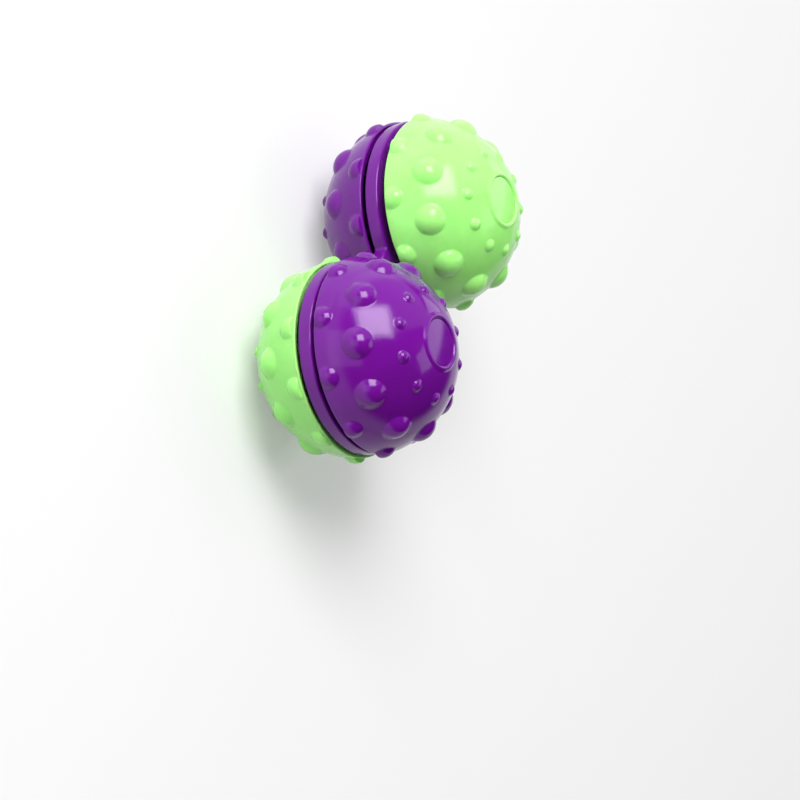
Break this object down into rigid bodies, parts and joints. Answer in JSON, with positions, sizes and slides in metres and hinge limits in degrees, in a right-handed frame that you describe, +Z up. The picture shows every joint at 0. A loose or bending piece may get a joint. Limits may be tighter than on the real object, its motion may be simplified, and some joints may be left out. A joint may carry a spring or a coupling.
{
  "type": "fidget ball spinner",
  "caption": "Fidget toy of knobbly purple and green plastic balls that spin on ball bearings in the rings of a flat figure-eight link.",
  "frame": {"origin": "midway between the balls, on the surface that the lower pole ridges rest on", "axes": "+X along the link from the left ball to the right ball, +Z up along the ball axles, +Y across the link"},
  "size_m": [0.0846, 0.0412, 0.0391],
  "materials": {
    "purple_plastic": "glossy moulded",
    "green_plastic": "glossy moulded, bright",
    "bearing_steel": "ground and polished",
    "shield_steel": "pressed sheet",
    "sleeve_steel": "turned",
    "plated_screw": "zinc plated",
    "cage_nylon": "moulded nylon"
  },
  "bodies": {
    "link": {"link_frame": "purple_plastic", "left_bearing_outer_race": "bearing_steel", "left_bearing_top_shield": "shield_steel", "left_bearing_bottom_shield": "shield_steel", "right_bearing_outer_race": "bearing_steel", "right_bearing_top_shield": "shield_steel", "right_bearing_bottom_shield": "shield_steel"},
    "left_ball": {"left_purple_half": "purple_plastic", "left_green_half": "green_plastic", "left_purple_cap": "purple_plastic", "left_green_cap": "green_plastic", "left_top_screw": "plated_screw", "left_bottom_screw": "plated_screw", "left_axle_sleeve": "sleeve_steel", "left_bearing_inner_race": "bearing_steel"},
    "left_cage": {"left_bearing_balls": "bearing_steel", "left_bearing_cage": "cage_nylon"},
    "right_ball": {"right_green_half": "green_plastic", "right_purple_half": "purple_plastic", "right_green_cap": "green_plastic", "right_purple_cap": "purple_plastic", "right_top_screw": "plated_screw", "right_bottom_screw": "plated_screw", "right_axle_sleeve": "sleeve_steel", "right_bearing_inner_race": "bearing_steel"},
    "right_cage": {"right_bearing_balls": "bearing_steel", "right_bearing_cage": "cage_nylon"}
  },
  "joints": [
    {"name": "left_ball_spin", "type": "hinge", "parent": "link", "child": "left_ball", "pos_m": [-0.02165, 0, 0.01956], "axis": [0, 0, 1], "continuous": true},
    {"name": "left_cage_spin", "type": "hinge", "parent": "link", "child": "left_cage", "pos_m": [-0.02165, 0, 0.01956], "axis": [0, 0, 1], "continuous": true},
    {"name": "right_ball_spin", "type": "hinge", "parent": "link", "child": "right_ball", "pos_m": [0.02165, 0, 0.01956], "axis": [0, 0, 1], "continuous": true},
    {"name": "right_cage_spin", "type": "hinge", "parent": "link", "child": "right_cage", "pos_m": [0.02165, 0, 0.01956], "axis": [0, 0, 1], "continuous": true}
  ],
  "couplings": [
    {"joint": "left_cage_spin", "follows": "left_ball_spin", "ratio": 0.3677},
    {"joint": "right_cage_spin", "follows": "right_ball_spin", "ratio": 0.3677}
  ]
}
